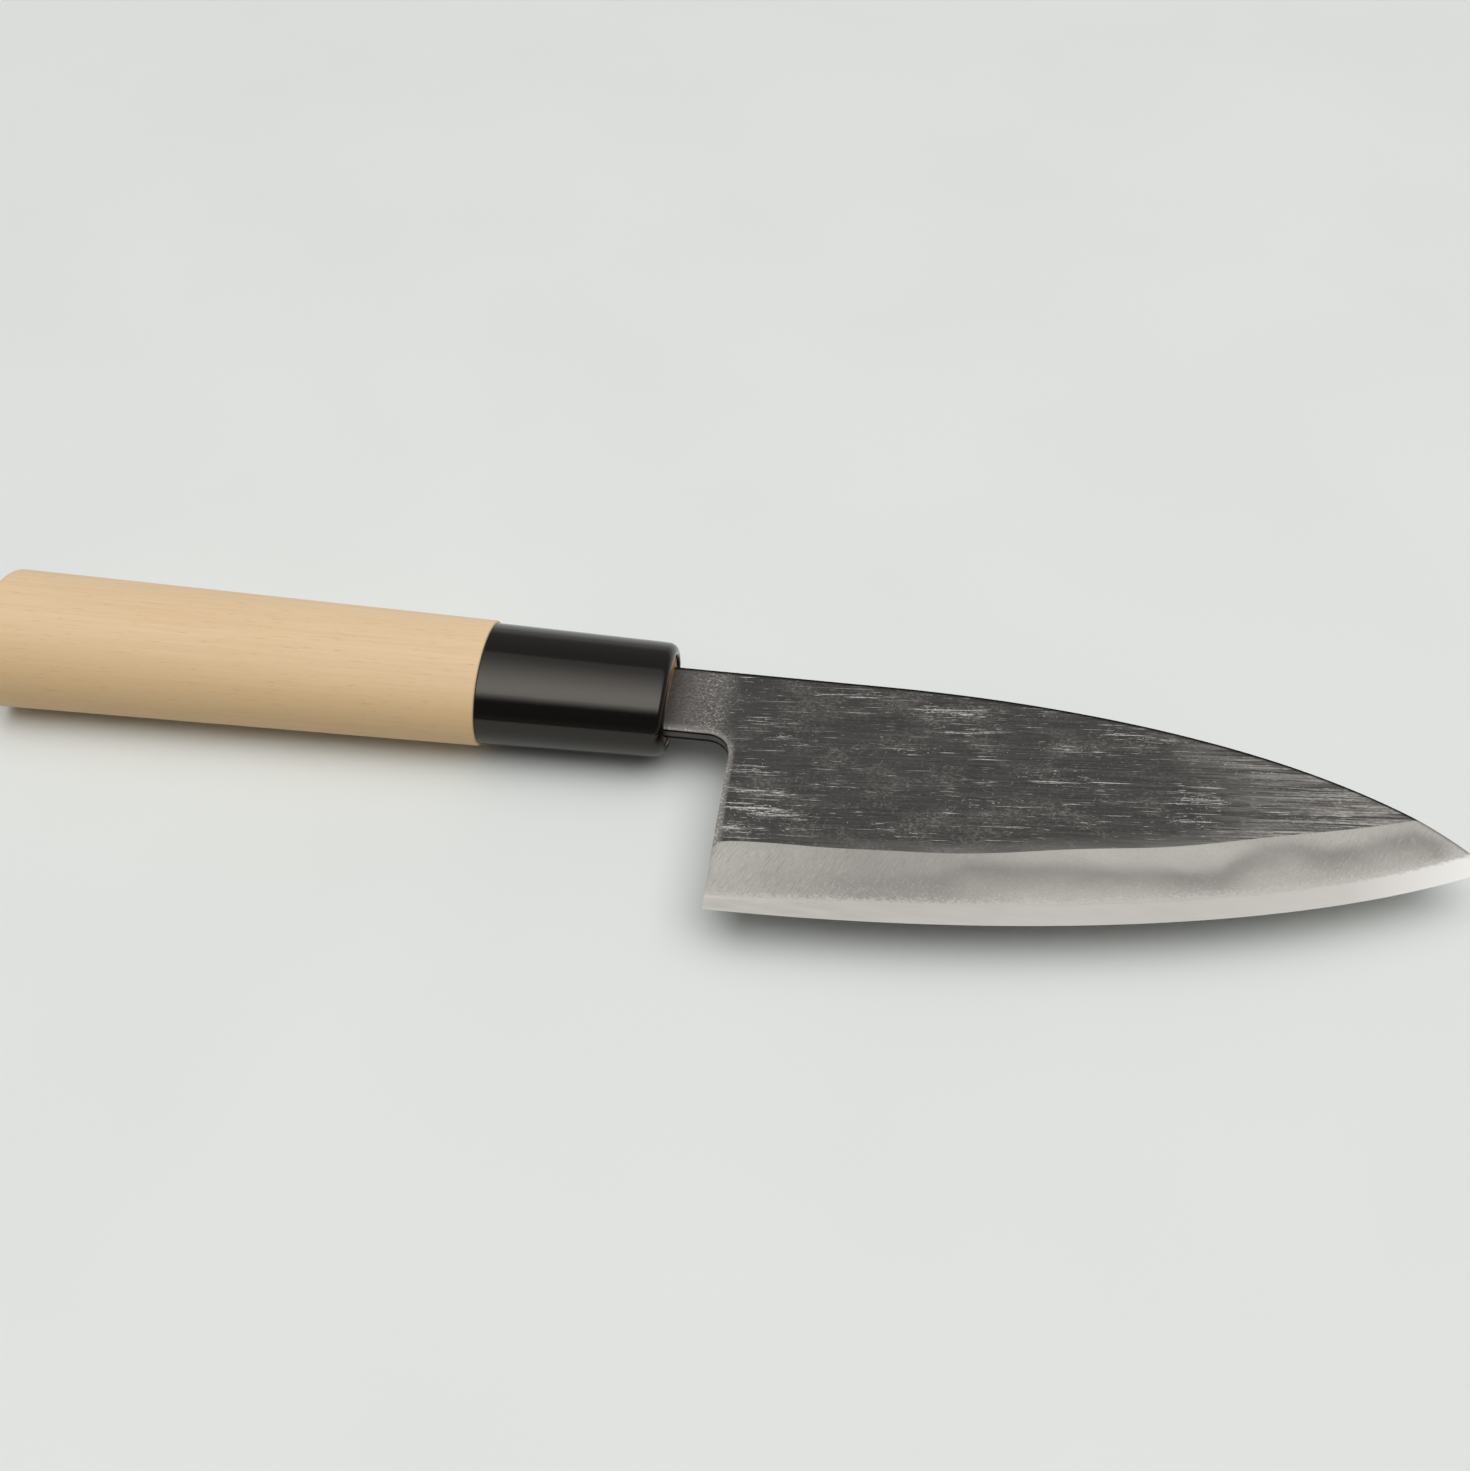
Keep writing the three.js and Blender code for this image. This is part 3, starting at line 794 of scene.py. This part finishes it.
def magnolia():
    """Bare magnolia, sanded to a satin: pale straw wood, darker towards its lower side as painted shade,
    with faint growth bands, hair-fine grain and short pores along it, growth rings on both ends, and a
    front end round the tang darkened as scorched wood and as painted shade."""
    material, tree, place = new_material("sanded_magnolia")
    spot = add(tree, "SeparateXYZ", [place])
    x, y = spot.outputs["X"], spot.outputs["Y"]
    # Painted shade: the wood is lighter at its top and darker towards its lower side
    wood = layer(tree, linear("#d0b287"), "#e9cda7", add(tree, "MapRange", [y, -13.0, -3.0]))
    growth = grains(tree, place, 90.0, 5.0, 0.3, 0.7, turn=1.5, shift=5.0, detail=3.0)
    wood = layer(tree, wood, "#cdaa7d", growth, 0.25)
    hair = grains(tree, place, 26.0, 0.5, 0.35, 0.7, turn=0.8, shift=13.0, detail=4.0)
    wood = layer(tree, wood, "#c39c6c", hair, 0.16)

    # Pores are about 0.1 mm wide, and are drawn twice as wide so that they show
    pores = grains(tree, place, 3.2, 0.2, 0.6, 0.72, shift=29.0, detail=3.0)
    wood = layer(tree, wood, "#ab7d4c", pores, 0.34)

    # End grain at the butt and round the tang
    log = add(tree, "Mapping", {"Vector": place, "Location": (0.0, *PITH), "Scale": (0.0, 1.0, 1.0)})
    rings = add(tree, "TexWave", {
        "Vector": log, "Scale": math.pi / (10.0 * RING_WIDTH), "Distortion": 1.6, "Detail": 2.0,
        "Detail Scale": 0.4,
    }, wave_type="RINGS", rings_direction="X")
    butt = add(tree, "MapRange", [x, BUTT_X + 0.9, BUTT_X + 0.3])
    end = add(tree, "MapRange", [x, SPIGOT_END_X - 1.0, SPIGOT_END_X - 0.4])
    above_tang = add(tree, "MapRange", [y, 1.0, 6.0, 0.1, 1.0])
    in_slot = add(tree, "Attribute", attribute_name="in_slot").outputs["Fac"]
    wood = layer(tree, wood, "#c29a69", butt, 0.35)
    wood = layer(tree, wood, "#a87b4b", rings.outputs["Fac"], butt, 0.2)
    # Scorching and painted shade: the end grain inside the ferrule's mouth is darkened, orange above the
    # tang
    wood = layer(tree, wood, "#94795a", end)
    wood = layer(tree, wood, "#b4743c", end, above_tang)
    wood = layer(tree, wood, "#5f4024", rings.outputs["Fac"], end, 0.35)
    wood = layer(tree, wood, "#2a1c12", in_slot)
    rough = add(tree, "MapRange", {"Value": hair, "To Min": 0.5, "To Max": 0.58})
    bump = add(tree, "Bump", {"Height": hair, "Distance": 1.5e-5, "Strength": 0.4}, invert=True)
    shader = add(tree, "BsdfPrincipled", {
        "Base Color": wood, "Roughness": rough, "Specular IOR Level": 0.3, "Normal": bump,
    })
    add(tree, "OutputMaterial", {"Surface": shader})
    return material


handle_outline, handle_marks = handle_rows()
handle = new_piece("magnolia_handle", *oval_mesh(handle_outline), handle_marks)
handle.data.materials.append(magnolia())
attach(handle, "root")
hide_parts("handle")

# Ferrule: a moulded black plastic collar pressed over the handle's spigot, glossy from its mould,
# with a rounded front rim. It tapers a little to the front and sits just below the wood's face.

RIM_ROUND = 1.7
LIP_ROUND = 0.45
BACK_EDGE = 0.15


def ferrule_rows():
    """Rows round the collar's wall: out along the barrel, over the rim and lip, back down the bore."""
    joint, mouth = FERRULE_JOINT_HALF, FERRULE_MOUTH_HALF
    back = [oval(TIGHT_GAP, joint - BACK_EDGE), oval(TIGHT_GAP + BACK_EDGE, joint)]
    barrel = [
        oval(x, joint + (mouth - joint) * x / MOUTH_X)
        for x in np.linspace(0, MOUTH_X - RIM_ROUND, 24)[1:-1]
    ]
    rim = quarter_round(MOUTH_X - RIM_ROUND, mouth - RIM_ROUND, RIM_ROUND, 0, 90, 10)
    lip_half = mouth - FERRULE_WALL + LIP_ROUND
    lip = [
        oval(MOUTH_X - LIP_ROUND * (1 - math.cos(angle)), lip_half - LIP_ROUND * math.sin(angle))
        for angle in np.radians(np.linspace(0, 90, 5))
    ]
    bore = [oval(TIGHT_GAP, joint - FERRULE_WALL)]
    return back + barrel + rim + lip + bore


def black_plastic():
    """Black moulded ABS: near black and glossy, with the faint ripple and rub marks of a moulding."""
    material, tree, place = new_material("moulded_black_plastic")
    ripple = grains(tree, place, 6.0, 3.0, 0.0, 1.0, shift=2.0)
    rubs = grains(tree, place, 4.0, 0.3, 0.55, 0.75, turn=80.0, shift=17.0, detail=3.0)
    body = layer(tree, linear("#0d0c0b"), "#1c1a18", rubs, 0.3)
    rough = add(tree, "MapRange", {"Value": rubs, "To Min": 0.11, "To Max": 0.18})
    bump = add(tree, "Bump", {"Height": ripple, "Distance": 4e-5, "Strength": 0.25})
    shader = add(tree, "BsdfPrincipled", {
        "Base Color": body, "Roughness": rough, "IOR": 1.5, "Specular Tint": linear("#fff7ec"),
        "Normal": bump,
    })
    add(tree, "OutputMaterial", {"Surface": shader})
    return material


ferrule_outline = ferrule_rows()
ferrule = new_piece("plastic_ferrule", *oval_mesh(ferrule_outline + ferrule_outline[:1]))
ferrule.data.materials.append(black_plastic())
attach(ferrule, "root")
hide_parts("ferrule")

# Floor and light: a pale matt table under one wide softbox overhead, brightest towards the near side
# with a skirt that fades out there, in a plain grey room that is darker on the near side.

FLOOR_HALF = 6.0
SOFTBOX_LENGTH = 4.4
SOFTBOX_DEPTH = 5.2
SOFTBOX_CENTRE = (0.5, -0.4, 3.0)
SOFTBOX_NEAR_GLOW = 2.95
SOFTBOX_FAR_GLOW = 0.42

# Shares of the softbox's depth, from its near edge
SOFTBOX_SKIRT = 0.27
SOFTBOX_FADE_START, SOFTBOX_FADE_END = 0.37, 0.96

# The room's brightness, and the rise and the nearness of a direction at which it changes
WALL_LEVEL = 0.5
ROOM_LEVEL = 0.25
NEAR_SHARE = 0.3
WALL_TOP, ROOM_START = 0.12, 0.3
NEAR_START, NEAR_FULL = -0.2, -0.7

floor_mesh = bpy.data.meshes.new("floor")
corners = FLOOR_HALF * np.array([[-1, -1, 0], [1, -1, 0], [1, 1, 0], [-1, 1, 0]])
floor_mesh.from_pydata(corners.tolist(), [], [(0, 1, 2, 3)])
floor = bpy.data.objects.new("floor", floor_mesh)
bpy.context.scene.collection.objects.link(floor)
table, table_tree, table_place = new_material("pale_table")
smudges = grains(table_tree, table_place, 60.0, 60.0, 0.35, 0.65)
paint = add(table_tree, "BsdfPrincipled", {
    "Base Color": layer(table_tree, linear("#e2e5e2"), "#e0e3e0", smudges),
    "Roughness": 0.9,
    "Specular IOR Level": 0.2,
})
add(table_tree, "OutputMaterial", {"Surface": paint})
floor_mesh.materials.append(table)

lamp = bpy.data.lights.new("softbox", "AREA")
lamp.shape = "RECTANGLE"
lamp.size = SOFTBOX_LENGTH
lamp.size_y = SOFTBOX_DEPTH
lamp.use_nodes = True

# At this power the lamp's brightness is the strength of its emission
lamp.energy = math.pi * SOFTBOX_LENGTH * SOFTBOX_DEPTH
lamp_tree = lamp.node_tree
lamp_tree.nodes.clear()
across = add(lamp_tree, "NewGeometry").outputs["Parametric"]
depth = add(lamp_tree, "SeparateXYZ", [across]).outputs["Y"]
fade_steps = [SOFTBOX_FADE_START, SOFTBOX_FADE_END, SOFTBOX_NEAR_GLOW, SOFTBOX_FAR_GLOW]
fade = add(lamp_tree, "MapRange", [depth, *fade_steps], interpolation_type="SMOOTHSTEP")
skirt = add(lamp_tree, "MapRange", [depth, 0.0, SOFTBOX_SKIRT])
skirt = add(lamp_tree, "Math", [skirt, 2.0], operation="POWER")
strength = add(lamp_tree, "Math", [fade, skirt], operation="MULTIPLY")
emission = add(lamp_tree, "Emission", {"Strength": strength})
add(lamp_tree, "OutputLight", {"Surface": emission})
softbox = bpy.data.objects.new("softbox", lamp)
softbox.location = SOFTBOX_CENTRE
bpy.context.scene.collection.objects.link(softbox)

room = bpy.data.worlds.new("grey_room")
room.use_nodes = True
room_tree = room.node_tree
room_tree.nodes.clear()
direction = add(room_tree, "SeparateXYZ", [add(room_tree, "TexCoord").outputs["Generated"]])
up_steps = [direction.outputs["Z"], WALL_TOP, ROOM_START, WALL_LEVEL, ROOM_LEVEL]
level = add(room_tree, "MapRange", up_steps, interpolation_type="SMOOTHSTEP")
near_steps = [direction.outputs["Y"], NEAR_START, NEAR_FULL, 1.0, NEAR_SHARE]
near_side = add(room_tree, "MapRange", near_steps, interpolation_type="SMOOTHSTEP")
level = add(room_tree, "Math", [level, near_side], operation="MULTIPLY")
glow = add(room_tree, "Background", {"Color": (1.0, 1.0, 1.0, 1.0), "Strength": level})
add(room_tree, "OutputWorld", {"Surface": glow})
bpy.context.scene.world = room

# Camera: at the photograph's angle, placed from the joint by millimetres right, up and back along
# its own axes, with a lens for a 1470 by 1471 image.

VIEW_AZIMUTH = 7.47
VIEW_ELEVATION = 48.0
VIEW_RIGHT, VIEW_UP, VIEW_BACK = 41.17, -8.88, 285.32
FOCAL_PIXELS = 1700.0
IMAGE_HEIGHT = 1471
SENSOR = 36.0

camera_data = bpy.data.cameras.new("camera")
camera_data.sensor_width = SENSOR
camera_data.lens = SENSOR * FOCAL_PIXELS / IMAGE_HEIGHT
camera = bpy.data.objects.new("camera", camera_data)
camera.rotation_euler = (math.radians(90 - VIEW_ELEVATION), 0.0, math.radians(VIEW_AZIMUTH))
axes = np.array(camera.rotation_euler.to_matrix())
camera.location = (JOINT + axes @ [VIEW_RIGHT, VIEW_UP, VIEW_BACK]) * MM
bpy.context.scene.collection.objects.link(camera)
bpy.context.scene.camera = camera
bpy.context.scene.view_settings.view_transform = "Standard"
